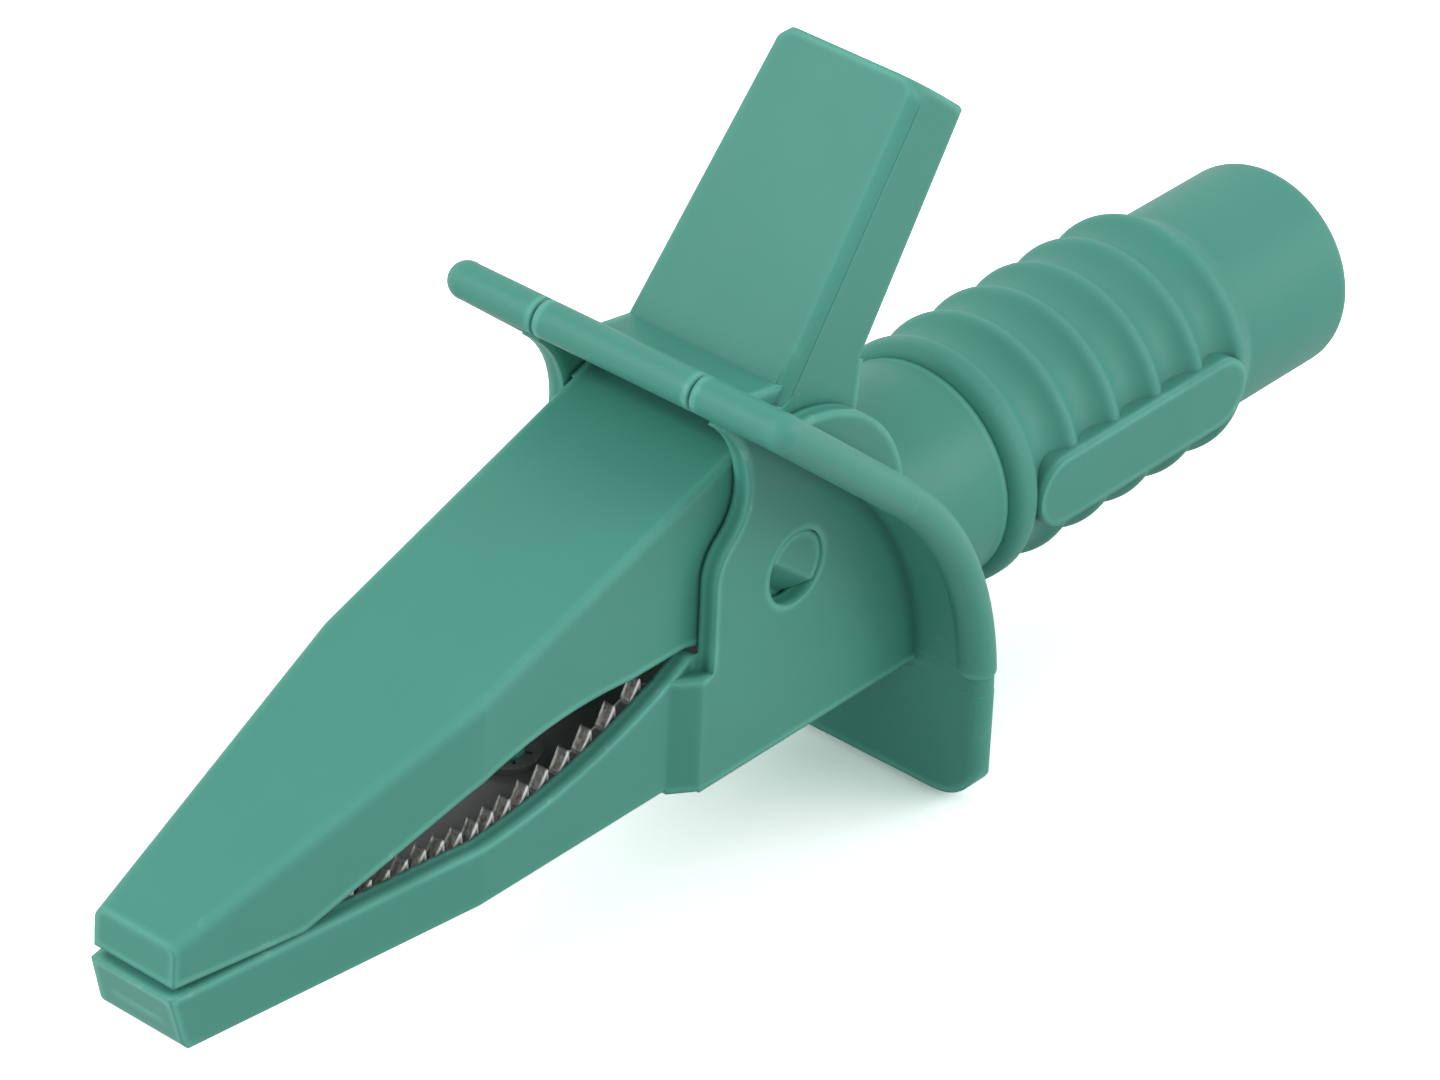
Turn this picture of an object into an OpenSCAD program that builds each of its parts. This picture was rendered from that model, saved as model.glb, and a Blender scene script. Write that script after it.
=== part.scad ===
// Crocodile clip with a rear 4 mm safety socket, drawn closed. Millimetres.
// X runs along the socket: the plug leaves toward +X, the jaws point to -X. Z is up.
// The origin is the centre of the contact mouth.

/* [Rear barrel] */
// Outside diameter of the smooth rear end
barrel_d = 11.7; // [11:0.1:13]
// Length of the rear sleeve
sleeve_len = 29.6; // [27:0.1:32]
// Outside diameter of the neck behind the guard
neck_d = 12.2; // [11.6:0.1:12.8]
// Outside diameter over the rib crests
rib_d = 13.56; // [13.2:0.02:14.4]
// Diameter in the rib valleys
rib_valley_d = 12.26; // [12:0.02:12.8]
// Distance from one rib to the next
rib_pitch = 3.48; // [3:0.02:3.8]
// Number of ribs behind the front ring
rib_count = 5; // [3:1:6]
// Length of the plain oval badge
badge_len = 17.1; // [12:0.1:18]
// Width of the plain oval badge
badge_w = 4; // [3:0.1:5]

/* [Socket] */
// Bore radius of the plug contact
contact_bore_r = 2.02; // [2.01:0.01:2.05]
// Outside radius of the contact tube
contact_r = 2.5; // [2.4:0.05:2.6]
// Depth of the contact bore
contact_depth = 19; // [18:0.5:20]
// Distance from the sleeve rim down to the contact mouth
mouth_recess = 3; // [2.5:0.1:4]
// Outside radius of the ring-shaped recess for the plug shroud
recess_r = 4.55; // [4.4:0.05:4.7]
// Outside radius of the insulating tube
insulator_r = 3.4; // [3.3:0.05:3.5]
// Inside radius of the insulating tube
insulator_bore_r = 2.85; // [2.8:0.01:2.9]
// Distance from the contact mouth to the spring ring
clip_from = 1.5; // [1:0.1:3]
// Length of the spring ring
clip_len = 4.5; // [3:0.1:6]

/* [Jaw covers] */
// Distance from the sleeve joint to the nose of the upper cover
nose_x = 56.3; // [54:0.1:58]
// Half width at the nose
nose_w = 2.55; // [2.2:0.05:3]
// Distance from the sleeve joint to the bend in the plan outline
kink_x = 38.4; // [36:0.1:40]
// Half width at the bend
kink_w = 5.2; // [4.8:0.05:5.4]
// Half width of the upper cover between the cheeks
cover_w = 5.3; // [5:0.05:5.4]
// Wall thickness of the covers
wall = 1; // [0.8:0.05:1.2]
// Rounding of the long edges of the covers
cover_edge = 0.5; // [0.3:0.05:0.7]
// Slope of the flat upper face
top_slope = 19; // [17:0.5:21]

/* [Pivot and cheeks] */
// Distance from the sleeve joint to the pivot
pivot_x = 17.4; // [16:0.1:18]
// Height of the pivot above the socket axis
pivot_z = 4.9; // [4.5:0.1:5.5]
// Radius of the pivot holes
pivot_r = 2; // [1.8:0.05:2.2]
// Running clearance of the trunnions, on the radius
pivot_gap = 0.05; // [0.02:0.01:0.09]
// Slope of the lead-in on the trunnions
lead_in = 42; // [30:1:50]
// Radius of the round cheek lugs
lug_r = 8.2; // [7.5:0.1:8.8]
// Half width over the cheeks
cheek_w = 6.5; // [6.3:0.05:6.8]
// Half width between the cheeks
cheek_in = 5.45; // [5.4:0.05:5.6]

/* [Finger guard] */
// Half width of the guard
guard_w = 11; // [10:0.1:12]
// Distance from the sleeve joint to the upright rear face of the guard
guard_rear = 5.87; // [5.5:0.01:7]
// Radius of the bend in the rear face
guard_r = 20.46; // [18:0.02:22]
// Diameter of the round bead along the rim
guard_t = 1.96; // [1.6:0.02:2.2]
// Thickness of the guard plate
plate_t = 1.44; // [1.2:0.02:1.7]
// Slope of the flat upper part of the guard
guard_slope = 39.7; // [36:0.1:44]
// Distance from the sleeve joint to the lip of the guard
lip_x = 23.4; // [22:0.1:25]
// Height of the lip above the socket axis
lip_z = 16.8; // [15:0.1:18]
// Height of the lower edge below the socket axis
guard_drop = 12.2; // [11:0.1:13]
// Height below the socket axis at which the bead ends
guard_step = 4.4; // [4:0.1:6]
// Radius of the lower corners of the guard
guard_corner = 2.8; // [2:0.1:3.5]
// Half width of the middle lip on the lever
lip_mid_w = 4.95; // [4.8:0.05:5]
// Gap beside the middle lip
lip_gap = 0.15; // [0.1:0.01:0.2]

/* [Thumb lever] */
// Height of the lever top above the socket axis
lever_top = 27; // [25:0.1:29]
// Half width at the top
lever_top_w = 4.5; // [3.8:0.02:4.6]
// Half width at the base
lever_base_w = 5.26; // [4.9:0.02:5.34]
// Angle of the front face above level
lever_angle = 51.3; // [48:0.1:54]
// Angle of the rear edges above level
lever_rear = 53.6; // [52:0.1:57]
// Depth of the squared-off top
lever_tip = 4.45; // [4:0.05:4.8]
// Height of the web between the lip and the lever
web_z = 14.5; // [14.2:0.05:14.8]
// Wall thickness of the lever
lever_wall = 1.6; // [1.2:0.1:2]
// Rounding of the long edges of the lever
lever_edge = 0.7; // [0.4:0.05:0.9]
// Rounding of the upper corners of the lever, seen from the front
lever_corner = 1.5; // [1:0.1:1.8]
// Rounding of the upper rear corner of the lever, seen from the side
tip_r = 0.9; // [0.4:0.1:1.2]

/* [Metal jaws] */
// Sheet thickness
sheet = 0.7; // [0.5:0.05:0.8]
// Depth of the teeth
tooth_h = 1.05; // [0.8:0.05:1.3]
// Pitch of the rear teeth
pitch_rear = 1.76; // [1.6:0.02:2]
// Pitch of the nose teeth
pitch_nose = 1.06; // [0.9:0.02:1.2]
// Number of teeth on each side plate
teeth = 24; // [20:1:24]

/* [Spring] */
// Wire diameter
wire_d = 1; // [0.8:0.05:1.1]
// Mean radius of the coil
coil_r = 2.9; // [2.7:0.05:3.1]
// Axial step of one turn
coil_pitch = 1.08; // [1.02:0.02:1.2]

/* [Hidden] */
$fn = 96;
tiny = 0.01;
mouth_x = sleeve_len - mouth_recess;
px = -pivot_x;
// nose and bend of the covers
nx = -nose_x;
kx = -kink_x;
top_z0 = 0.25;
function top_z(x) = top_z0 + (x - nx) * tan(top_slope);
// middle surface of the guard: upright, bent about (gx, gz), then flat up to the lip
gm = guard_r - guard_t / 2;
gx = -guard_rear - guard_r;
gz = lip_z - (gm - (-lip_x - gx) * sin(guard_slope)) / cos(guard_slope);
g_bend = 90 - guard_slope;
// direction along the flat part and the one out of its rear face
fx = -cos(guard_slope);
fz = sin(guard_slope);
hx = sin(guard_slope);
hz = cos(guard_slope);
flat_len = (-lip_x - gx) * fx + (lip_z - gz) * fz;
// distance from the bend centre to the rear face of the plate
flat_rear = gm + plate_t / 2;
// angle at which the bead ends below
g_step = asin((-guard_step - gz) / gm);
// height of the rim's underside behind the lip, with room for the opening lever
function rim_low(x) = lip_z - (x + lip_x) * tan(guard_slope) - plate_t / 2 / cos(guard_slope) + 0.3;
// ribs: crest arcs and the wider valley arcs between them, in radius and X
crest_r = 0.61;
function crest_x(i) = 1.27 + i * rib_pitch;
rib_rise = (rib_d - rib_valley_d) / 2;
arc_sum = (pow(rib_pitch / 2, 2) + pow(rib_rise, 2)) / (2 * rib_rise);
valley_r = arc_sum - crest_r + 0.006;
valley_at = rib_valley_d / 2 + arc_sum - crest_r;
last_slope = 27;
// lever face: a point on it, its run and the direction out of its front
lx = -7.2;
lz = lever_top;
ux = cos(lever_angle);
uz = sin(lever_angle);
function face_x(z) = lx - (lz - z) * ux / uz;
// rear edge of the lever's sides: upper corner, lower end and the rounding of the corner
tip = [lx + lever_tip * uz, lz - lever_tip * ux];
rear_end = tip - 13.1 * [cos(lever_rear), sin(lever_rear)];
tip_t = tip_r / tan((90 + lever_rear - lever_angle) / 2);
// rear face of the flat upper part of the guard at a height
flat_d = gx * hx + gz * hz + flat_rear;
function flat_x(z) = (flat_d - z * hz) / hx;
// mouth edges: lower rim and upper edge
rim_r = 33.1;
rim_z = -1.78;
rim_x = -40;
arch_r = 24.8;
arch_z = 3;
arch_x = -31.2;
// height of a tooth tip on the lower and upper jaw
function low_tip(x) = x < rim_x ? -2.24 + 0.99 * max(0, (x + 48.9) / 8.9)
  : rim_z + 0.53 + rim_r - sqrt(rim_r * rim_r - pow(x - rim_x, 2));
function high_edge(x) = x < -48.9 ? -2 : x < -40 ? -2 + (x + 48.9) * 0.38
  : x < arch_x ? arch_z - arch_r + sqrt(arch_r * arch_r - pow(x - arch_x, 2)) : arch_z;
function high_tip(x) = max(high_edge(x) - 0.5, -2.12);
// teeth get lower where the covers close toward the nose
function tooth_depth(x) = min(tooth_h, 0.45 + (x - nx) * 0.08);
// tooth positions, coarse at the rear and fine toward the nose
fine_from = 7;
dp = (pitch_rear - pitch_nose) / fine_from;
function tooth_x(i) = i <= fine_from ? -26.35 - (pitch_rear * i - dp * i * (i - 1) / 2)
  : tooth_x(fine_from) - (i - fine_from) * pitch_nose;
// lower jaw floor and neck bore
floor_z = -3.3;
neck_bore = 4.3;
spigot_r = 4.98;
spigot_len = 7;
flange_t = 1.4;
peg_r = 0.9;
low_pegs = [-46, -31];
high_pegs = [-40, -29];

module place() {
  translate([-mouth_x, 0, 0]) children();
}

// a drawing in X and Z made into a slab of half width w
module slab(w) {
  rotate([90, 0, 0]) translate([0, 0, -w]) linear_extrude(2 * w) children();
}

// a drawing in X and Y made into an upright block
module upright(z0, z1) {
  translate([0, 0, z0]) linear_extrude(z1 - z0) children();
}

// an outline in radius and X turned about the socket axis
module turned() {
  rotate([0, 90, 0]) rotate([0, 0, 90]) rotate_extrude() children();
}

module rod_x(r, x0, x1) {
  translate([x0, 0, 0]) rotate([0, 90, 0]) cylinder(r = r, h = x1 - x0);
}

// takes the sharp corner off an edge from p to q: u and v are the outward signs
// of the faces above or below it and beside it
module edge_cut(p, q, r, u, v) {
  d = q - p;
  c = r - 0.02;
  translate(p) rotate([0, acos(d[2] / norm(d)), atan2(d[1], d[0])]) difference() {
    translate([u > 0 ? -c : -0.4, v > 0 ? -c : -0.4, 0]) cube([c + 0.4, c + 0.4, norm(d)]);
    translate([-u * c, -v * c, -1]) cylinder(r = r, h = norm(d) + 2);
  }
}

// points on an arc
function arc(cx, cz, r, a0, a1, n) = [for (i = [0 : n]) let (a = a0 + (a1 - a0) * i / n)
  [cx + r * cos(a), cz + r * sin(a)]];

// a sector of a ring about the guard axis, drawn as radius and width
module guard_sweep(a0, a1) {
  translate([gx, 0, gz]) rotate([90, 0, 0]) rotate([0, 0, a0])
    rotate_extrude(angle = a1 - a0) children();
}

// the flat upper part of the guard: the same drawing moved on by a length
module guard_flat(from, to) {
  translate([gx, 0, gz]) rotate([90, 0, 0]) rotate([0, 0, g_bend])
    translate([0, from, 0]) rotate([-90, 0, 0]) linear_extrude(to - from)
      mirror([0, 1, 0]) children();
}

// the upright lower part
module guard_upright(z0, z1) {
  translate([gx, 0, z0]) linear_extrude(z1 - z0) children();
}

// side view of all that lies before and below the middle surface of the guard
module guard_inside() {
  polygon(concat(
    [[-40, -14], [gx + gm, -14]],
    arc(gx, gz, gm, 0, g_bend, 24),
    [[-lip_x, lip_z], [-40, lip_z]]
  ));
}

// plan outline of a jaw cover, pulled in by d
module plan(d, nose, rear, rear_w) {
  polygon([
    [nose + d, -(nose_w - d)],
    [kx, -(kink_w - d)],
    [rear, -(rear_w - d)],
    [rear, rear_w - d],
    [kx, kink_w - d],
    [nose + d, nose_w - d]
  ]);
}

// lens-shaped space under the upper cover edge
module arch_cut() {
  polygon([[-48.9, -2], [-40, high_edge(-40)], [-40, -6], [-60, -6], [-60, -1.85]]);
  intersection() {
    translate([arch_x, arch_z - arch_r]) circle(r = arch_r, $fn = 240);
    translate([-40, -6]) square([13, 12]);
  }
  translate([arch_x + 2.4, -6]) square([20, 5.8 + arch_z]);
}

// side view of the upper cover with the hub around the pivot
module cover_side() {
  difference() {
    polygon([
      [nx - 0.15, -4],
      [nx - 0.1, -1],
      [nx, top_z(nx)],
      [px + 1, top_z(px + 1)],
      [px + 1, 2],
      [-24.1, 2]
    ]);
    arch_cut();
  }
  polygon([[-24.1, arch_z - 0.2], [-20.2, 1.75], [px, 0.7], [px + 3, 8], [-24.1, 8]]);
  translate([px, pivot_z]) circle(r = 4.2);
}

// side view of the thumb lever down to the hub
module lever_side() {
  polygon([
    [lx, lz],
    tip + tip_t * [-uz, ux],
    tip - tip_t * [cos(lever_rear), sin(lever_rear)],
    rear_end,
    [-12.2, 8.2],
    [px + 4.2, pivot_z],
    [px, pivot_z],
    [px - 2.6, 11.5],
    [lx - 14 * ux, lz - 14 * uz]
  ]);
  translate(tip + tip_t * [-uz, ux] - tip_r * [ux, uz]) circle(r = tip_r);
}

// side view of the nearly level web between the lip and the lever
module web_side() {
  rise = 0.45;
  top = [flat_x(web_z + rise), web_z + rise];
  polygon([
    top,
    [face_x(web_z), web_z],
    [face_x(web_z) + 0.8, web_z - 0.13],
    [lx - 18 * ux, lz - 18 * uz],
    top - (plate_t - 0.05) * [hx, hz]
  ]);
}

// front outline of the lever: narrower and rounded at the top
module lever_front(w0, w1, top, r) {
  lean = atan((w0 - w1) / (top - 14));
  c = w1 - r * tan((90 - lean) / 2);
  polygon(concat(
    [[-w0, -6], [-w0, 14]],
    arc(-c, top - r, r, 180 - lean, 90, 8),
    arc(c, top - r, r, 90, lean, 8),
    [[w0, 14], [w0, -6]]
  ));
}

// guard plate with a round edge or bead of radius r on each side, drawn as radius and width
module guard_section(r, w, t = plate_t) {
  translate([gm - t / 2, r - w]) square([t, 2 * (w - r)]);
  for (s = [-1, 1]) translate([gm, s * (w - r)]) circle(r = r);
}

// side view of the space inside the upper moulding
module upper_hollow_side() {
  polygon([
    [nx + 1.4, -8],
    [nx + 1.4, top_z(nx + 1.4) - 1.35],
    [-16.4, top_z(-16.4) - 1.35],
    [lx + lever_wall * uz - 2.8 * ux, lz - lever_wall * ux - 2.1],
    [-1, 19],
    [-2, 5],
    [-12, -8]
  ]);
}

// long top edges of the upper cover
module cover_top_cut(v) {
  a = [nx, v * nose_w, top_z(nx)];
  b = [kx, v * kink_w, top_z(kx)];
  c = [-21, v * cover_w, top_z(-21)];
  edge_cut(a - (b - a) * 0.02, b + (b - a) * 0.01, cover_edge, -1, v);
  edge_cut(b - (c - b) * 0.01, c, cover_edge, -1, v);
}

// half width of the lever at a height
function lever_w(z) = lever_top_w + (lever_base_w - lever_top_w) * (lz - z) / (lz - 14);

// long edges of the lever, front and rear
module lever_edge_cut(v) {
  low = [face_x(web_z), v * lever_w(web_z), web_z];
  high = [lx, v * lever_w(lz), lz];
  edge_cut(low - (high - low) * 0.06, high + (high - low) * 0.05, lever_edge, -1, v);
  back_low = [rear_end[0], v * lever_w(rear_end[1]), rear_end[1]];
  back_high = [tip[0], v * lever_w(tip[1]), tip[1]];
  edge_cut(back_low, back_high + (back_high - back_low) * 0.1, lever_edge, 1, v);
}

module lever_shell() {
  color([0.13, 0.44, 0.36]) place() difference() {
    union() {
      difference() {
        intersection() {
          slab(8) cover_side();
          upright(-6, 20) plan(0, nx - 0.2, -8, cover_w);
        }
        for (v = [-1, 1]) cover_top_cut(v);
      }
      difference() {
        intersection() {
          slab(8) lever_side();
          rotate([90, 0, 90]) translate([0, 0, -40]) linear_extrude(60)
            lever_front(lever_base_w, lever_top_w, lz, lever_corner);
        }
        for (v = [-1, 1]) lever_edge_cut(v);
      }
      slab(lip_mid_w - 0.03) web_side();
      guard_flat(4.6, flat_len) translate([flat_rear - plate_t, -lip_mid_w])
        square([plate_t, 2 * lip_mid_w]);
      translate([-lip_x, lip_mid_w, lip_z])
        rotate([90, 0, 0]) cylinder(r = guard_t / 2, h = 2 * lip_mid_w);
    }
    intersection() {
      slab(6) upper_hollow_side();
      upright(-9, 30) plan(wall, nx, 0, cover_w - 0.15);
      rotate([90, 0, 90]) translate([0, 0, -60]) linear_extrude(80)
        polygon([[-4.2, -9], [-4.2, 12], [-2.8, 27], [2.8, 27], [4.2, 12], [4.2, -9]]);
    }
  }
  color([0.13, 0.44, 0.36]) place() {
    trunnions();
    for (x = high_pegs) upper_peg(x);
  }
}

// pivot stubs with a sloped lead-in on the lower front half
module trunnions() {
  for (s = [0, 1]) mirror([0, s, 0]) translate([px, 0, pivot_z]) rotate([90, 0, 0]) {
    difference() {
      cylinder(r = pivot_r - pivot_gap, h = cheek_w - 0.1);
      translate([0, 0, -1]) cylinder(r = pivot_r, h = 1.9);
      rotate([0, 0, -38]) translate([-4, -0.25, cheek_w]) rotate([lead_in, 0, 0])
        translate([0, -8, -0.1]) cube([8, 8, 8]);
    }
  }
}

// peg that holds the upper jaw plate, square to the sloped roof
module upper_peg(x) {
  translate([x, 0, top_z(x) - 1.35]) rotate([0, 180 - top_slope, 0])
    translate([0, 0, -0.4]) cylinder(r = peg_r, h = 2.1);
}

// side view of the cheek in front of the guard and of its round lug
module cheek_side() {
  intersection() {
    translate([px, pivot_z]) circle(r = lug_r);
    translate([px - 2, -6]) square([14, 22]);
  }
  intersection() {
    polygon(concat(
      [[-6.4, -5.1], [-23.37, -5.1]],
      arc(-20.51, 6.3, 2.86, 180, 129.5, 8),
      arc(-24.3, 10.9, 3.1, -50.5, 0, 8),
      arc(-26.7, 10.9, 5.5, 0, 52, 8),
      [[-20, 18], [-6.4, 18]]
    ));
    guard_inside();
  }
  translate([-24.1, -5.1]) square([14.5, 6.6]);
}

// long bottom edges of the lower cover
module cover_low_cut(v) {
  a = [nx + 1.2, v * (nose_w + 0.22), -5.85];
  b = [kx, v * (kink_w + 0.1), -5.25];
  c = [-25.4, v * 5.5, -5.03];
  edge_cut(a - (b - a) * 0.06, b + (b - a) * 0.01, cover_edge, 1, v);
  edge_cut(b - (c - b) * 0.01, c, cover_edge, 1, v);
}

// side view of the lower jaw cover
module lower_side() {
  difference() {
    polygon(concat(
      [[nx - 0.35, -2.46]],
      arc(nx + 1.38, -4.75, 1.1, 194.6, 268, 6),
      [[kx, -5.25], [-23, -5], [-23, 2.3], [rim_x, 2.3], [rim_x, rim_z]]
    ));
    intersection() {
      translate([rim_x, rim_z + rim_r]) circle(r = rim_r, $fn = 240);
      translate([rim_x - tiny, rim_z - 1]) square([17, 6]);
    }
  }
}

// plan of the body: jaw cover, sloped step and cheeks
module body_plan(d) {
  polygon([
    [nx - 0.4 + d, -(nose_w - d)],
    [kx, -(kink_w + 0.1 - d)],
    [-25.4 - 0.4 * d, -(5.5 - d)],
    [-24.1 - 0.4 * d, -(cheek_w - d)],
    [-6, -(cheek_w - d)],
    [-6, cheek_w - d],
    [-24.1 - 0.4 * d, cheek_w - d],
    [-25.4 - 0.4 * d, 5.5 - d],
    [kx, kink_w + 0.1 - d],
    [nx - 0.4 + d, nose_w - d]
  ]);
}

// rounded bead along the lip with ball ends
module lip_bead(w) {
  r = guard_t / 2;
  translate([-lip_x, 0, lip_z]) rotate([90, 0, 0]) {
    translate([0, 0, -w]) cylinder(r = r, h = 2 * w);
    for (s = [-1, 1]) translate([0, 0, s * w]) sphere(r = r + 0.025, $fn = 64);
  }
}

// front outline of the guard with its rounded lower corners
module guard_outline() {
  c = guard_w - guard_corner;
  z = guard_corner - guard_drop;
  polygon(concat(
    [[-12, 30], [-12, z + 2], [-guard_w, z + 2]],
    arc(-c, z, guard_corner, 180, 270, 12),
    arc(c, z, guard_corner, 270, 360, 12),
    [[guard_w, z + 2], [12, z + 2], [12, 30]]
  ));
}

module guard() {
  intersection() {
    union() {
      guard_upright(-guard_drop - 1, gz + 0.5) guard_section(plate_t / 2, guard_w - 0.06);
      guard_sweep(-1, g_step + 1) guard_section(plate_t / 2 - 0.02, guard_w - 0.08, plate_t - 0.04);
      guard_sweep(g_step, g_bend + 1) guard_section(guard_t / 2, guard_w);
      guard_flat(0, flat_len) guard_section(guard_t / 2 + 0.01, guard_w + 0.01, plate_t + 0.04);
      lip_bead(guard_w - guard_t / 2);
    }
    rotate([90, 0, 90]) translate([0, 0, -40]) linear_extrude(50) guard_outline();
  }
}

module body_shell() {
  color([0.13, 0.44, 0.36]) place() difference() {
    union() {
      difference() {
        intersection() {
          slab(7) lower_side();
          upright(-7, 4) body_plan(0);
        }
        for (v = [-1, 1]) cover_low_cut(v);
      }
      intersection() {
        slab(cheek_w) cheek_side();
        upright(-7, 20) body_plan(0);
      }
      guard();
      rod_x(neck_d / 2, -11, -0.05);
      rod_x(spigot_r, -1, spigot_len);
    }
    // space inside the jaw cover
    intersection() {
      upright(-4.3, 9) body_plan(0.95);
      slab(7) polygon([[nx, -4.3], [-25.6, -4.3], [-25.6, 9], [nx, 9]]);
    }
    slab(4.55) polygon([[-26, -4.2], [-23, -4.2], [-23, 2.6], [-26, 2.6]]);
    // ledge beside the rear end of the rim
    for (s = [-1, 1]) translate([-27, s * 6.5 - 1, 1.5]) cube([3.63, 2, 4]);
    // space between the cheeks
    slab(cheek_in) polygon([
      [-23.6, -4.2], [-10.2, -4.2], [-10.2, 1.5], [-8.5, 5], [-8.5, 12], [-12, 30], [-21.6, 30],
      [-21.6, rim_low(-21.6)], [-lip_x, rim_low(-lip_x)], [-40, 15], [-40, 2.4], [-23.6, 2.4]
    ]);
    // slot for the lip on the lever
    translate([-27, -lip_mid_w - lip_gap, 11]) cube([10, 2 * (lip_mid_w + lip_gap), 10]);
    rod_x(neck_bore, -11, spigot_len + 1);
    for (s = [-1, 1]) translate([px, 0, pivot_z]) rotate([s * 90, 0, 0])
      translate([0, 0, 4]) cylinder(r = pivot_r, h = 4);
  }
  color([0.13, 0.44, 0.36]) place() {
    for (x = low_pegs) {
      translate([x, 0, -4.4]) cylinder(r = 1.7, h = floor_z + 4.4 - 0.02);
      translate([x, 0, -4.4]) cylinder(r = peg_r, h = floor_z + 4.4 + sheet + 0.75);
    }
  }
}

// saw-tooth edge: tips follow the given heights and lean to the rear
module lower_teeth() {
  for (i = [0 : teeth - 1]) {
    x = tooth_x(i);
    z = low_tip(x);
    h = tooth_depth(x);
    polygon([[x, z], [x - 0.62, z - h], [x - 0.62, z - h - 0.5], [x + 0.9, z - h - 0.5], [x + 0.12, z - h]]);
  }
}

module upper_teeth() {
  for (i = [0 : teeth - 1]) {
    x = tooth_x(i) + 0.1;
    z = high_tip(x);
    h = tooth_depth(x);
    polygon([[x, z], [x - 0.62, z + h], [x - 0.62, z + h + 0.6], [x + 0.9, z + h + 0.6], [x + 0.12, z + h]]);
  }
}

module lower_jaw() {
  d = 1.1;
  color([0.78, 0.78, 0.8]) place() difference() {
    union() {
      difference() {
        intersection() {
          slab(6) union() {
            polygon(concat(
              [[nx + 0.9, floor_z], [-25.6, floor_z], [-25.6, low_tip(-25.6) - tooth_h]],
              [for (i = [0 : teeth - 1]) [tooth_x(i) - 0.3, low_tip(tooth_x(i)) - tooth_depth(tooth_x(i))]],
              [[nx + 0.9, -2.75]]
            ));
            lower_teeth();
          }
          upright(floor_z, 4) body_plan(d);
          translate([-70, -8, floor_z]) cube([44.4, 16, 10]);
        }
        upright(floor_z + sheet, 6) body_plan(d + sheet);
      }
      translate([-26.2, -2.2, floor_z]) cube([31.1, 4.4, sheet]);
      intersection() {
        translate([4.2, -2.2, floor_z]) cube([sheet, 4.4, 5.5]);
        union() {
          rod_x(2.6, 4, 5.2);
          translate([4, -3, -4]) cube([2, 6, 4]);
        }
      }
    }
    for (x = low_pegs) translate([x, 0, floor_z - 1]) cylinder(r = peg_r + 0.1, h = sheet + 2);
    rod_x(1.5, 3, 6);
  }
}

module upper_jaw() {
  d = 1.1;
  roof = 1.45;
  color([0.78, 0.78, 0.8]) place() difference() {
    intersection() {
      slab(6) union() {
        polygon(concat(
          [[nx + 1.5, top_z(nx + 1.5) - roof], [-25, top_z(-25) - roof], [-25, high_tip(-25) + tooth_h]],
          [for (i = [0 : teeth - 1]) [tooth_x(i) - 0.2, high_tip(tooth_x(i)) + tooth_depth(tooth_x(i))]],
          [[nx + 1.5, -1.65]]
        ));
        upper_teeth();
      }
      upright(-5, 12) plan(d, nx + 0.4, 0, cover_w - 0.15);
      translate([nx + 1.5, -8, -6]) cube([31.3, 16, 20]);
    }
    intersection() {
      upright(-6, 14) plan(d + sheet, nx + 0.4, 0, cover_w - 0.15);
      slab(6) polygon([
        [nx, -6], [nx, top_z(nx) - roof - sheet], [-20, top_z(-20) - roof - sheet], [-20, -6]
      ]);
    }
    for (x = high_pegs) translate([x, 0, top_z(x) - roof]) rotate([0, 180 - top_slope, 0])
      translate([0, 0, -1]) cylinder(r = peg_r + 0.1, h = 4);
  }
}

// push-on lock washer with a cross-cut centre
module lock_washer() {
  difference() {
    cylinder(r = 1.75, h = 0.35);
    translate([0, 0, -1]) cylinder(r = peg_r + 0.02, h = 3);
    for (a = [0, 60, 120]) rotate([0, 0, a]) translate([-1.3, -0.12, -1]) cube([2.6, 0.24, 3]);
  }
}

module lower_lock(x) {
  translate([x, 0, floor_z + sheet + 0.02]) lock_washer();
}

module upper_lock(x) {
  translate([x, 0, top_z(x) - 1.35]) rotate([0, 180 - top_slope, 0])
    translate([0, 0, 0.1 * cos(top_slope) + sheet * cos(top_slope) + 0.02]) lock_washer();
}

module lower_lock_a() {
  color([0.7, 0.7, 0.72]) place() lower_lock(low_pegs[0]);
}

module lower_lock_b() {
  color([0.7, 0.7, 0.72]) place() lower_lock(low_pegs[1]);
}

module upper_lock_a() {
  color([0.7, 0.7, 0.72]) place() upper_lock(high_pegs[0]);
}

module upper_lock_b() {
  color([0.7, 0.7, 0.72]) place() upper_lock(high_pegs[1]);
}

// wire swept through rings of points: lever leg, coil, body leg
module torsion_spring() {
  rim = 12;
  a0 = 90 + lever_angle;
  wrap = 1080 + 109.8;
  n = 80;
  a1 = a0 + wrap;
  rise = coil_pitch * wrap / 360;
  coil = [for (i = [0 : n]) [coil_r, a0 + wrap * i / n, rise / 2 - rise * i / n]];
  at = concat(
    [[[-13.2, rise / 2, 15.66], a0]],
    [for (c = coil) [[px + c[0] * cos(c[1]), c[2], pivot_z + c[0] * sin(c[1])], c[1]]],
    [[[-6, -rise / 2, -2.07], a1]]
  );
  last = len(at) - 1;
  r = wire_d / 2;
  points = [for (s = at) for (k = [0 : rim - 1]) let (t = 360 * k / rim)
    s[0] + r * [cos(t) * cos(s[1]), sin(t), cos(t) * sin(s[1])]];
  sides = [for (i = [0 : last - 1]) for (k = [0 : rim - 1]) let (j = (k + 1) % rim)
    [i * rim + k, i * rim + j, (i + 1) * rim + j, (i + 1) * rim + k]];
  caps = [[for (k = [0 : rim - 1]) rim - 1 - k], [for (k = [0 : rim - 1]) last * rim + k]];
  color([0.6, 0.6, 0.62]) place() polyhedron(points, concat(sides, caps), convexity = 8);
}

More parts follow.
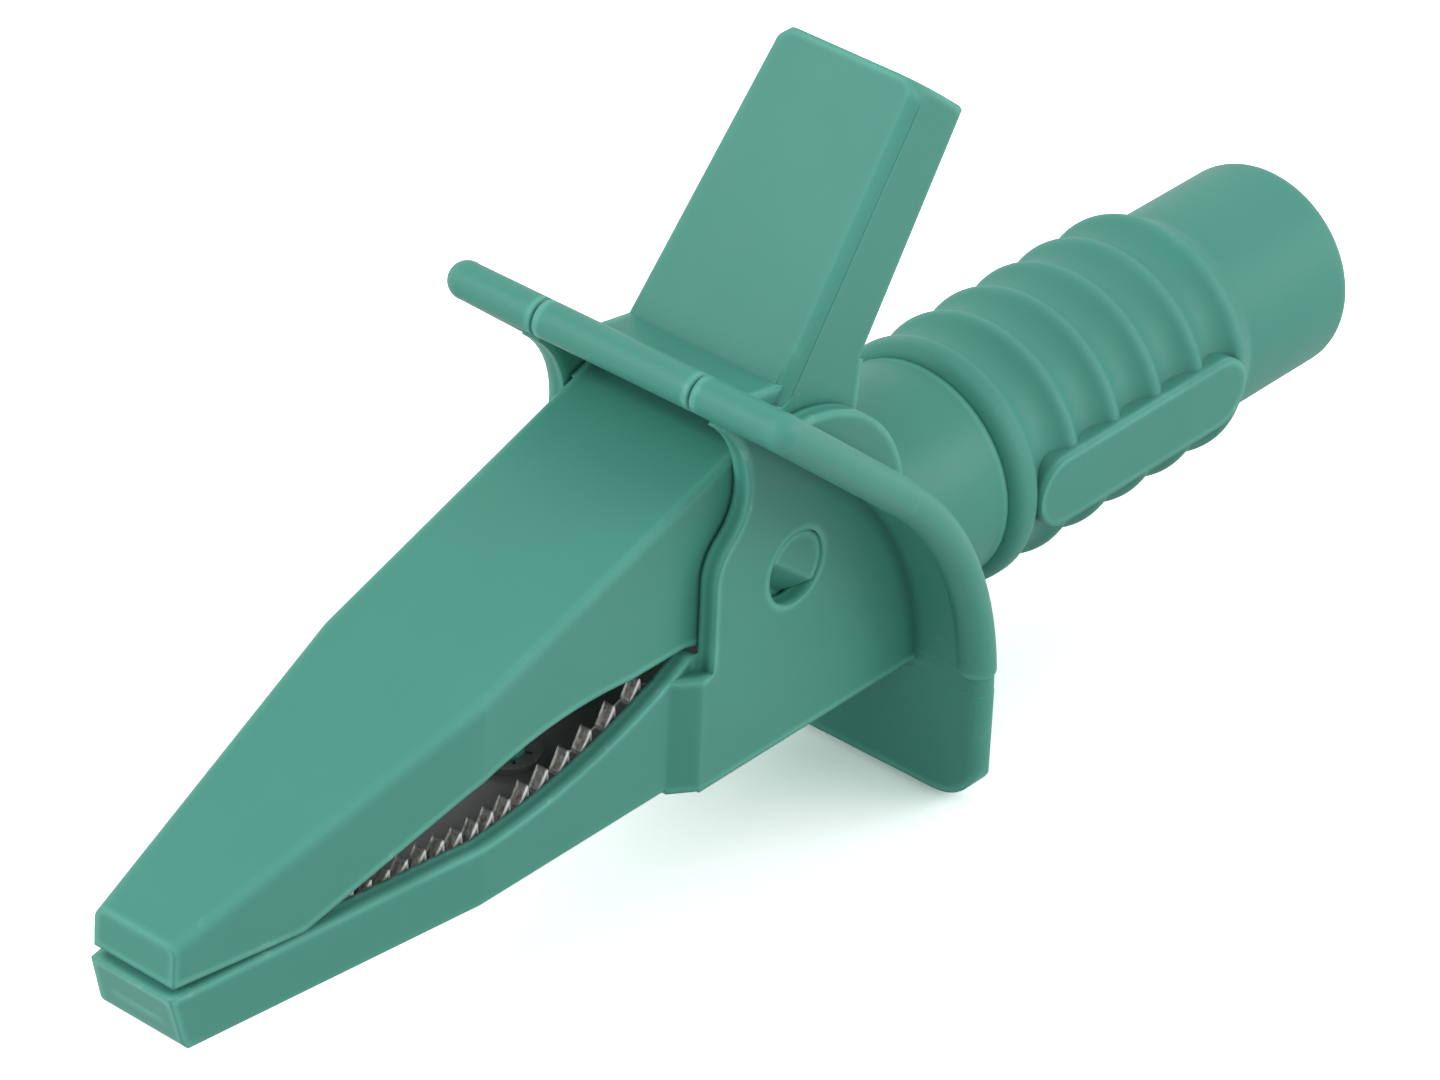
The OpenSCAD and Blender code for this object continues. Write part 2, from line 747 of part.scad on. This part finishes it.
// outline of the sleeve with full crests, in radius and X
module sleeve_outline() {
  top = rib_d / 2;
  inner = recess_r - 1;
  end_r = barrel_d / 2;
  last = crest_x(rib_count);
  slope_r = top - crest_r + crest_r * cos(last_slope) - 0.03;
  slope_x = last + crest_r * sin(last_slope);
  polygon([
    [inner, 0.6],
    [top - 0.12, 1],
    [top - 0.12, last],
    [slope_r, slope_x],
    [end_r, slope_x + (slope_r - end_r) / tan(last_slope)],
    [end_r, sleeve_len - 1],
    [end_r - 1, sleeve_len - 1],
    [end_r - 1, sleeve_len],
    [inner, sleeve_len]
  ]);
  translate([end_r - 1, sleeve_len - 1]) circle(r = 1, $fn = 64);
  // front ring
  translate([inner, 0]) square([top - 0.8 - inner, 2]);
  translate([top - 0.8, 0.8]) circle(r = 0.8, $fn = 64);
  translate([top - 0.8, 0.8]) square([0.8, crest_x(0) - 0.8]);
  for (i = [0 : rib_count]) translate([top - crest_r, crest_x(i)]) circle(r = crest_r, $fn = 48);
}

module sleeve() {
  color([0.13, 0.44, 0.36]) place() difference() {
    union() {
      difference() {
        turned() sleeve_outline();
        for (i = [0 : rib_count - 1]) turned()
          translate([valley_at, crest_x(i + 0.5)]) circle(r = valley_r, $fn = 96);
      }
      badge();
    }
    rod_x(spigot_r + 0.02, -1, spigot_len + flange_t);
    rod_x(recess_r, spigot_len, sleeve_len + 1);
  }
}

// plain oval badge on the side of the ribs
module badge() {
  x0 = 1.7;
  r = badge_w / 2;
  t = rib_d / 2 - 5.08;
  rotate([90, 0, 0]) translate([0, 0, 5.2]) {
    translate([x0 + r, -r]) linear_extrude(t) square([badge_len - 2 * r, 2 * r]);
    for (x = [x0 + r, x0 + badge_len - r]) translate([x, 0]) cylinder(r = r, h = t, $fn = 64);
  }
}

module insulator() {
  color([0.16, 0.4, 0.34]) place() difference() {
    union() {
      rod_x(spigot_r - 0.06, spigot_len + 0.02, spigot_len + flange_t - 0.02);
      rod_x(insulator_r, spigot_len + 0.5, sleeve_len - 0.5);
    }
    rod_x(insulator_bore_r, spigot_len - 1, sleeve_len + 1);
  }
}

module contact() {
  x0 = mouth_x - contact_depth;
  color([0.85, 0.78, 0.55]) place() difference() {
    union() {
      rod_x(contact_r, 5, mouth_x);
      rod_x(neck_bore - 0.15, 4.92, spigot_len - 0.02);
      rod_x(1.48, 3.8, 6);
      rod_x(2.1, 3.5, 4.18);
    }
    rod_x(contact_bore_r, x0, mouth_x + 1);
    for (a = [0, 90]) rotate([a, 0, 0]) translate([mouth_x - 12, -0.25, -4]) cube([13, 0.5, 8]);
  }
}

// open spring ring that keeps the slotted contact closed on the plug
module contact_clip() {
  color([0.7, 0.7, 0.72]) place() difference() {
    rod_x(contact_r + 0.26, mouth_x - clip_from - clip_len, mouth_x - clip_from);
    rod_x(contact_r + 0.02, mouth_x - clip_from - clip_len - 1, mouth_x);
    translate([mouth_x - clip_from - clip_len - 1, -0.5, 0]) cube([clip_len + 2, 1, 5]);
  }
}

body_shell();
lever_shell();
lower_jaw();
upper_jaw();
torsion_spring();
sleeve();
insulator();
contact();
contact_clip();
lower_lock_a();
lower_lock_b();
upper_lock_a();
upper_lock_b();
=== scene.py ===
import math

import bmesh
import bpy
from mathutils import Matrix, Vector


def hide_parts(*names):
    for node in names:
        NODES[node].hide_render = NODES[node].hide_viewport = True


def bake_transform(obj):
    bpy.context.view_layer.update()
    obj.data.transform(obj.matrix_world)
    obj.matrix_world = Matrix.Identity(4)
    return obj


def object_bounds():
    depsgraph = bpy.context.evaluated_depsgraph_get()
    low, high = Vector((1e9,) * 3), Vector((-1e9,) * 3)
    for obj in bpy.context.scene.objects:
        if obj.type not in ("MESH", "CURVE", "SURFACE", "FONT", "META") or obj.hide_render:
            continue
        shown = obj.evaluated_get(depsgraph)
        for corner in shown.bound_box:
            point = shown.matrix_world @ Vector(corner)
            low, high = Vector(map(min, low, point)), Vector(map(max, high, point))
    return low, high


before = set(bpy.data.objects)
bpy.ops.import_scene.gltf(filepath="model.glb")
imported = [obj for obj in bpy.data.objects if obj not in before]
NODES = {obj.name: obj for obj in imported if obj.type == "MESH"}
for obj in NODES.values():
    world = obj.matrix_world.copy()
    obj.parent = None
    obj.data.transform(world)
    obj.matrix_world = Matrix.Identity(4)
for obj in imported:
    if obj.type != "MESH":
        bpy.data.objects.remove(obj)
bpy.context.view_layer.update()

MM = 0.001

# colours, scene-linear
GREEN = (0.076, 0.325, 0.252)
GRIP_GREEN = (0.074, 0.32, 0.249)
GREEN_INNER = (0.06, 0.26, 0.2)
SCUFF = (0.3, 0.6, 0.5)
CUT_EDGE = (0.72, 0.7, 0.67)
SHEET_FACE = (0.22, 0.22, 0.225)
# near-white of the painted highlight on the teeth's edges
PAINTED_GLINT = (0.97, 0.97, 0.96)
LOCK_STEEL = (0.2, 0.2, 0.205)
STEEL = (0.4, 0.4, 0.42)
BRASS = (0.6, 0.45, 0.2)

# noise scales, in cells per metre
MOTTLE_SCALE = 90.0
RUB_HIGHLIGHT_SCALE = 260.0
GLOSS_SCALE = 420.0
SCUFF_SCALE = 520.0
MARK_SCALE = 900.0
GRAIN_SCALE = 2600.0
SHEAR_SCALE = 5000.0

# moulded plastic: openness of a deep inner corner and of an open face, and the brightness of the
# painted shade in that corner
CORNER_OPENNESS = (0.5, 0.86)
CORNER_SHADE = 0.65
# its rims, painted paler partly as wear and partly as a painted highlight: reach in millimetres,
# and inside openness of a flat face and of a full rim
RIM_REACH = 0.52
RIM_OPENNESS = (0.95, 0.76)
WORN_HIGHLIGHT_GAIN = 1.45
WORN_HIGHLIGHT_LIFT = 0.03
RUB_HIGHLIGHT_RANGE = (0.3, 1.25)
SCUFF_RANGE = (0.62, 0.7)
SCUFF_STRENGTH = 0.6
# its finish: mottling, gloss and grain, with the grain's depth in millimetres
MOTTLE_RANGE = (0.92, 1.08)
GLOSS_SPREAD = 0.06
GRAIN_STRENGTH = 0.12
GRAIN_DEPTH = 0.04
PLASTIC_SPECULAR = 0.26

# metal: how far fine marks change the roughness, and their depth in millimetres
MARK_GLOSS = (-0.07, 0.1)
MARK_STRENGTH = 0.2
MARK_DEPTH = 0.02

# punched sheet: a cut face's normal has less than this along Y and along Z
CUT_SIDE = 0.5
CUT_UP = 0.9
# reach in millimetres that tells the free tips of the teeth from enclosed cut edges with painted
# shade, and their openness
TIP_REACH = 1.2
TIP_OPENNESS = (0.35, 0.85)
# shear marks: stretch along each axis, noise range and brightness
SHEAR_STRETCH = (1.0, 1.0, 0.15)
SHEAR_RANGE = (0.35, 0.6)
SHEAR_SHADE = (0.5, 1.2)
FACE_METALLIC = 0.3
CUT_METALLIC = 0.75
# softened edge of the teeth in millimetres, and its lean, as a cosine, on a flat and at a painted
# glint
TOOTH_EDGE = 0.26
FLAT_COSINE = 0.998
GLINT_COSINE = 0.96
# painted glint: a painted highlight on the upper, rear edges of the near side
GLINT_SIDE = (0.45, -0.3, 0.84)
GLINT_RANGE = (0.05, 0.3)

# rays for each soft edge and each look at the surroundings
SHADER_SAMPLES = 8


def new_material(name):
    """An empty material with one shader, and its nodes."""
    mat = bpy.data.materials.new(name)
    mat.use_nodes = True
    nodes = mat.node_tree.nodes
    nodes.clear()
    out = nodes.new("ShaderNodeOutputMaterial")
    bsdf = nodes.new("ShaderNodeBsdfPrincipled")
    mat.node_tree.links.new(bsdf.outputs["BSDF"], out.inputs["Surface"])
    return mat, mat.node_tree, bsdf


def place_on(tree, stretch=None):
    """Coordinates on the object in metres, stretched along its axes where asked."""
    place = tree.nodes.new("ShaderNodeTexCoord").outputs["Object"]
    if stretch is None:
        return place
    mapping = tree.nodes.new("ShaderNodeMapping")
    mapping.inputs["Scale"].default_value = stretch
    tree.links.new(place, mapping.inputs["Vector"])
    return mapping.outputs["Vector"]


def noise(tree, coords, scale, detail=3.0, rough=0.5):
    tex = tree.nodes.new("ShaderNodeTexNoise")
    tex.inputs["Scale"].default_value = scale
    tex.inputs["Detail"].default_value = detail
    tex.inputs["Roughness"].default_value = rough
    tree.links.new(coords, tex.inputs["Vector"])
    return tex.outputs["Fac"]


def spread(tree, value, low, high):
    """Values from 0 to 1 become low to high."""
    rng = tree.nodes.new("ShaderNodeMapRange")
    rng.inputs["To Min"].default_value = low
    rng.inputs["To Max"].default_value = high
    tree.links.new(value, rng.inputs["Value"])
    return rng.outputs["Result"]


def between(tree, value, start, end, low=0.0, high=1.0):
    """Values from start to end become low to high."""
    rng = spread(tree, value, low, high)
    rng.node.inputs["From Min"].default_value = start
    rng.node.inputs["From Max"].default_value = end
    return rng


def math_node(tree, op, a, b=0.0):
    """One operation on two values; a float is a fixed value."""
    node = tree.nodes.new("ShaderNodeMath")
    node.operation = op
    for socket, value in zip(node.inputs, (a, b)):
        if isinstance(value, float):
            socket.default_value = value
        else:
            tree.links.new(value, socket)
    return node.outputs[0]


def dot(tree, a, b):
    """Cosine between two directions; a tuple is a fixed direction."""
    node = tree.nodes.new("ShaderNodeVectorMath")
    node.operation = "DOT_PRODUCT"
    for socket, value in zip(node.inputs, (a, b)):
        if isinstance(value, tuple):
            socket.default_value = value
        else:
            tree.links.new(value, socket)
    return node.outputs["Value"]


def blend(tree, factor, a, b, mode="MIX"):
    """Mix two colours; a tuple is a fixed colour, a float a fixed factor."""
    mix = tree.nodes.new("ShaderNodeMix")
    mix.data_type = "RGBA"
    mix.blend_type = mode
    sockets = (mix.inputs["Factor"], mix.inputs["A"], mix.inputs["B"])
    for socket, value in zip(sockets, (factor, a, b)):
        if isinstance(value, float):
            socket.default_value = value
        elif isinstance(value, tuple):
            socket.default_value = (*value, 1.0)
        else:
            tree.links.new(value, socket)
    return mix.outputs["Result"]


def openness(tree, reach, inside=False):
    """1 on open faces, less in inner corners (inside: at outer edges) nearer than the reach."""
    ao = tree.nodes.new("ShaderNodeAmbientOcclusion")
    ao.samples = SHADER_SAMPLES
    ao.only_local = True
    ao.inside = inside
    ao.inputs["Distance"].default_value = reach * MM
    return ao.outputs["AO"]


def facing(tree, kind):
    """The surface's direction, Normal as shaded or True Normal as built."""
    return tree.nodes.new("ShaderNodeNewGeometry").outputs[kind]


def soft_normal(tree, radius):
    """The surface's direction as if its edges had this radius, in millimetres."""
    soft = tree.nodes.new("ShaderNodeBevel")
    soft.samples = SHADER_SAMPLES
    soft.inputs["Radius"].default_value = radius * MM
    return soft.outputs["Normal"]


def soft_where(tree, factor, radius):
    """The surface's direction, with its edges softened by the factor."""
    bend = tree.nodes.new("ShaderNodeMix")
    bend.data_type = "VECTOR"
    tree.links.new(factor, bend.inputs["Factor"])
    tree.links.new(facing(tree, "Normal"), bend.inputs["A"])
    tree.links.new(soft_normal(tree, radius), bend.inputs["B"])
    unit = tree.nodes.new("ShaderNodeVectorMath")
    unit.operation = "NORMALIZE"
    tree.links.new(bend.outputs["Result"], unit.inputs[0])
    return unit.outputs["Vector"]


def add_bump(tree, bsdf, height, strength, depth):
    """Fine relief, its depth in millimetres. Returns the socket for the direction under it."""
    bump = tree.nodes.new("ShaderNodeBump")
    bump.inputs["Strength"].default_value = strength
    bump.inputs["Distance"].default_value = depth * MM
    tree.links.new(height, bump.inputs["Height"])
    tree.links.new(bump.outputs["Normal"], bsdf.inputs["Normal"])
    return bump.inputs["Normal"]


def moulded(name, colour, rough, edge, corner):
    """Injection-moulded plastic: soft edges, painted shade in inner corners, paler rims (part
    wear, part painted highlight), faint mottling, grain and gloss.

    The edges' radius and the reach of the painted corner shade are in millimetres.
    """
    mat, tree, bsdf = new_material(name)
    place = place_on(tree)
    outer = between(tree, openness(tree, corner), *CORNER_OPENNESS)

    mottle = spread(tree, noise(tree, place, MOTTLE_SCALE, detail=4.0, rough=0.55), *MOTTLE_RANGE)
    base = blend(tree, 1.0, colour, mottle, "MULTIPLY")
    # painted shade: the colour darkens in inner corners, the more closed in the darker
    base = blend(tree, 1.0, base, spread(tree, outer, CORNER_SHADE, 1.0), "MULTIPLY")
    # edges are painted paler, unevenly: partly wear from handling, partly a painted highlight
    # along ridges
    rim = between(tree, openness(tree, RIM_REACH, inside=True), *RIM_OPENNESS)
    rub_highlight = spread(tree, noise(tree, place, RUB_HIGHLIGHT_SCALE), *RUB_HIGHLIGHT_RANGE)
    rub_highlight = math_node(tree, "MULTIPLY", rim, rub_highlight)
    worn_highlight = tuple(min(1.0, c * WORN_HIGHLIGHT_GAIN + WORN_HIGHLIGHT_LIFT) for c in colour)
    base = blend(tree, rub_highlight, base, worn_highlight)
    # and carry small pale scuffs
    scuff = noise(tree, place, SCUFF_SCALE, detail=5.0, rough=0.65)
    scuff = between(tree, scuff, *SCUFF_RANGE)
    scuff = math_node(tree, "MULTIPLY", scuff, rim)
    base = blend(tree, math_node(tree, "MULTIPLY", scuff, SCUFF_STRENGTH), base, SCUFF)
    tree.links.new(base, bsdf.inputs["Base Color"])

    gloss = noise(tree, place, GLOSS_SCALE)
    gloss = spread(tree, gloss, rough - GLOSS_SPREAD, rough + GLOSS_SPREAD)
    tree.links.new(gloss, bsdf.inputs["Roughness"])
    grain = noise(tree, place, GRAIN_SCALE, detail=2.0)
    under = add_bump(tree, bsdf, grain, GRAIN_STRENGTH, GRAIN_DEPTH)
    tree.links.new(soft_where(tree, outer, edge), under)
    bsdf.inputs["Specular IOR Level"].default_value = PLASTIC_SPECULAR
    return mat


def metal_nodes(name, colour, rough, streak, metallic=1.0):
    """Plated or turned metal with fine marks, and its nodes for more work.

    The streak stretches the marks along each axis.
    """
    mat, tree, bsdf = new_material(name)
    marks = noise(tree, place_on(tree, streak), MARK_SCALE, rough=0.6)
    bsdf.inputs["Base Color"].default_value = (*colour, 1.0)
    bsdf.inputs["Metallic"].default_value = metallic
    gloss = spread(tree, marks, *(rough + change for change in MARK_GLOSS))
    tree.links.new(gloss, bsdf.inputs["Roughness"])
    under = add_bump(tree, bsdf, marks, MARK_STRENGTH, MARK_DEPTH)
    return mat, tree, bsdf, under


def metal(name, colour, rough, streak, metallic=1.0):
    """The same metal where its nodes need no more work."""
    return metal_nodes(name, colour, rough, streak, metallic)[0]


def punched_sheet(name):
    """Spring sheet: dull rolled faces and bright punched edges, told apart by direction, with
    painted shade on enclosed edges and a painted glint on the teeth.
    """
    mat, tree, bsdf, under = metal_nodes(name, SHEET_FACE, rough=0.3, streak=(1.0, 6.0, 1.0))
    split = tree.nodes.new("ShaderNodeSeparateXYZ")
    tree.links.new(facing(tree, "True Normal"), split.inputs[0])
    # punched edges face neither sideways nor squarely up or down
    side = math_node(tree, "ABSOLUTE", split.outputs["Y"])
    up = math_node(tree, "ABSOLUTE", split.outputs["Z"])
    edge = math_node(tree, "MULTIPLY", math_node(tree, "LESS_THAN", side, CUT_SIDE),
                     math_node(tree, "LESS_THAN", up, CUT_UP))
    # cut edges get painted shade where enclosed; only the free tips of the teeth stay bright
    free = between(tree, openness(tree, TIP_REACH), *TIP_OPENNESS)
    shaded_cut_edge = blend(tree, free, SHEET_FACE, CUT_EDGE)
    base = blend(tree, edge, SHEET_FACE, shaded_cut_edge)
    # shear marks run up each cut face
    shear = noise(tree, place_on(tree, SHEAR_STRETCH), SHEAR_SCALE, detail=2.0, rough=0.6)
    shear = between(tree, shear, *SHEAR_RANGE, *SHEAR_SHADE)
    base = blend(tree, edge, base, blend(tree, 1.0, base, shear, "MULTIPLY"))
    # painted glint: a painted highlight where a free tooth's edge is soft and faces the given
    # side
    soft = soft_normal(tree, TOOTH_EDGE)
    tree.links.new(soft, under)
    lean = dot(tree, soft, facing(tree, "True Normal"))
    glint = math_node(tree, "MULTIPLY", between(tree, lean, FLAT_COSINE, GLINT_COSINE), free)
    turned = between(tree, dot(tree, soft, GLINT_SIDE), *GLINT_RANGE)
    glint = math_node(tree, "MULTIPLY", glint, turned)
    tree.links.new(blend(tree, glint, base, PAINTED_GLINT), bsdf.inputs["Base Color"])
    tree.links.new(spread(tree, edge, FACE_METALLIC, CUT_METALLIC), bsdf.inputs["Metallic"])
    return mat


plastic = moulded("moulded_green", GREEN, rough=0.42, edge=0.4, corner=1.2)
grip_plastic = moulded("sleeve_green", GRIP_GREEN, rough=0.47, edge=0.7, corner=1.8)
inner_plastic = moulded("inner_green", GREEN_INNER, rough=0.5, edge=0.15, corner=0.8)
jaw_sheet = punched_sheet("jaw_sheet")
dark_steel = metal("blackened_steel", LOCK_STEEL, rough=0.4, streak=(1.0, 1.0, 1.0), metallic=0.3)
steel = metal("spring_wire", STEEL, rough=0.3, streak=(1.0, 1.0, 4.0))
brass = metal("turned_brass", BRASS, rough=0.25, streak=(8.0, 1.0, 1.0))

LOOKS = {
    "body_shell": plastic,
    "lever_shell": plastic,
    "sleeve": grip_plastic,
    "insulator": inner_plastic,
    "lower_jaw": jaw_sheet,
    "upper_jaw": jaw_sheet,
    "torsion_spring": steel,
    "contact": brass,
    "contact_clip": steel,
    "lower_lock_a": dark_steel,
    "lower_lock_b": dark_steel,
    "upper_lock_a": dark_steel,
    "upper_lock_b": dark_steel,
}

for name, look in LOOKS.items():
    obj = NODES[name]
    obj.data.materials.clear()
    obj.data.materials.append(look)


def add_object(name, data):
    """A new object in the scene."""
    obj = bpy.data.objects.new(name, data)
    bpy.context.scene.collection.objects.link(obj)
    return obj


# points of the wire nearer than this, in millimetres, are one
WELD = 0.001
# the wire's edges that turn by more degrees than this stay sharp: its two cut ends
SHARP_ANGLE = 50


def wound_spring(look):
    """The spring as one smooth wire: its coil in the body, its long leg following the lever."""
    mesh = bpy.data.meshes.new("spring_wire")
    work = bmesh.new()
    work.from_mesh(NODES["torsion_spring"].data)
    bmesh.ops.remove_doubles(work, verts=work.verts, dist=WELD * MM)
    for face in work.faces:
        face.smooth = True
    work.to_mesh(mesh)
    work.free()
    mesh.set_sharp_from_angle(angle=math.radians(SHARP_ANGLE))
    wire = add_object("spring_wire", mesh)
    mesh.materials.append(look)
    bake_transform(wire)
    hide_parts("torsion_spring")


wound_spring(steel)

# camera: placed from the photo by matching edges of the barrel, the covers and the lever
# angles in degrees, lengths in millimetres, focal length in pixels of the photo
AZIMUTH = -50.36
ELEVATION = 32.56
ROLL = 2.51
FOCAL_PX = 6932.0
PHOTO_W = 1440
AIM_SIDE = 10.04
AIM_UP = 3.70
DISTANCE = 354.89
# it was fitted around the sleeve joint, which lies this far in front of the plug mouth
MOUTH = 26.6
SENSOR_W = 36.0
CLIP_START = 0.01
CLIP_END = 10.0


def photo_camera():
    """The scene's camera, at the photo's angle."""
    a, e, r = (math.radians(v) for v in (AZIMUTH, ELEVATION, ROLL))
    back = Vector((math.sin(a) * math.cos(e), -math.cos(a) * math.cos(e), math.sin(e)))
    side = Vector((0, 0, 1)).cross(back).normalized()
    up = back.cross(side)
    right = math.cos(r) * side + math.sin(r) * up
    top = -math.sin(r) * side + math.cos(r) * up
    place = back * DISTANCE - right * AIM_SIDE - top * AIM_UP - Vector((MOUTH, 0, 0))
    camera = add_object("camera", bpy.data.cameras.new("camera"))
    basis = Matrix((right, top, back)).transposed().to_4x4()
    camera.matrix_world = Matrix.Translation(place * MM) @ basis
    camera.data.sensor_width = SENSOR_W
    camera.data.lens = FOCAL_PX / PHOTO_W * SENSOR_W
    camera.data.clip_start = CLIP_START
    camera.data.clip_end = CLIP_END
    bpy.context.scene.camera = camera


photo_camera()

# floor colour: as it lights the object, as metal mirrors it and as the camera sees it
FLOOR_LIT = (0.62, 0.62, 0.62)
FLOOR_MIRRORED = (1.1, 1.1, 1.1)
FLOOR_SEEN = (2.0, 2.0, 2.0)
FLOOR_ROUGH = 0.9
# half its width in metres, and the gap under the object in millimetres
FLOOR_HALF = 3.0
FLOOR_GAP = 0.5
# strength of the world as it lights the object, and as it is seen or mirrored
WORLD_LIT = 0.65
WORLD_SEEN = 1.0


def ray_kinds(tree):
    """Factors that are 1 for what the camera sees, and for what metal and glass show."""
    path = tree.nodes.new("ShaderNodeLightPath")
    mirrored = math_node(tree, "MAXIMUM", path.outputs["Is Glossy Ray"],
                         path.outputs["Is Transmission Ray"])
    return path.outputs["Is Camera Ray"], mirrored


# floor just under the lowest point, the foot of the guard
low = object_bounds()[0][2]
floor_mat, tree, bsdf = new_material("floor_white")
seen, mirrored = ray_kinds(tree)
white = blend(tree, mirrored, FLOOR_LIT, FLOOR_MIRRORED)
white = blend(tree, seen, white, FLOOR_SEEN)
tree.links.new(white, bsdf.inputs["Base Color"])
bsdf.inputs["Roughness"].default_value = FLOOR_ROUGH
bsdf.inputs["Specular IOR Level"].default_value = 0.0
mesh = bpy.data.meshes.new("floor")
signs = ((-1, -1), (1, -1), (1, 1), (-1, 1))
corners = [(x * FLOOR_HALF, y * FLOOR_HALF, 0) for x, y in signs]
mesh.from_pydata(corners, [], [(0, 1, 2, 3)])
floor = add_object("floor", mesh)
floor.location = (0, 0, low - FLOOR_GAP * MM)
floor.data.materials.append(floor_mat)

# even light from all sides, white where it is seen or mirrored
world = bpy.data.worlds.new("studio")
bpy.context.scene.world = world
world.use_nodes = True
tree = world.node_tree
seen, mirrored = ray_kinds(tree)
shown = math_node(tree, "MAXIMUM", seen, mirrored)
background = tree.nodes["Background"]
background.inputs["Color"].default_value = (1, 1, 1, 1)
tree.links.new(spread(tree, shown, WORLD_LIT, WORLD_SEEN), background.inputs["Strength"])

# point that the lamps are aimed at, in metres
LAMP_AIM = (-0.03, 0, 0.005)


def lamp(name, place, power, size):
    """Square soft light, its place and size in metres, its power in watts."""
    data = bpy.data.lights.new(name, "AREA")
    data.energy = power
    data.size = size
    obj = add_object(name, data)
    obj.location = place
    obj.rotation_euler = (Vector(LAMP_AIM) - Vector(place)).to_track_quat("-Z", "Y").to_euler()


lamp("key", (-0.52, 0.3, 0.4), power=1.8, size=0.5)
lamp("fill", (0.28, -0.3, 0.17), power=0.5, size=0.25)
lamp("edge", (0.1, -0.42, 0.36), power=0.3, size=0.2)

bpy.context.scene.view_settings.view_transform = "Standard"
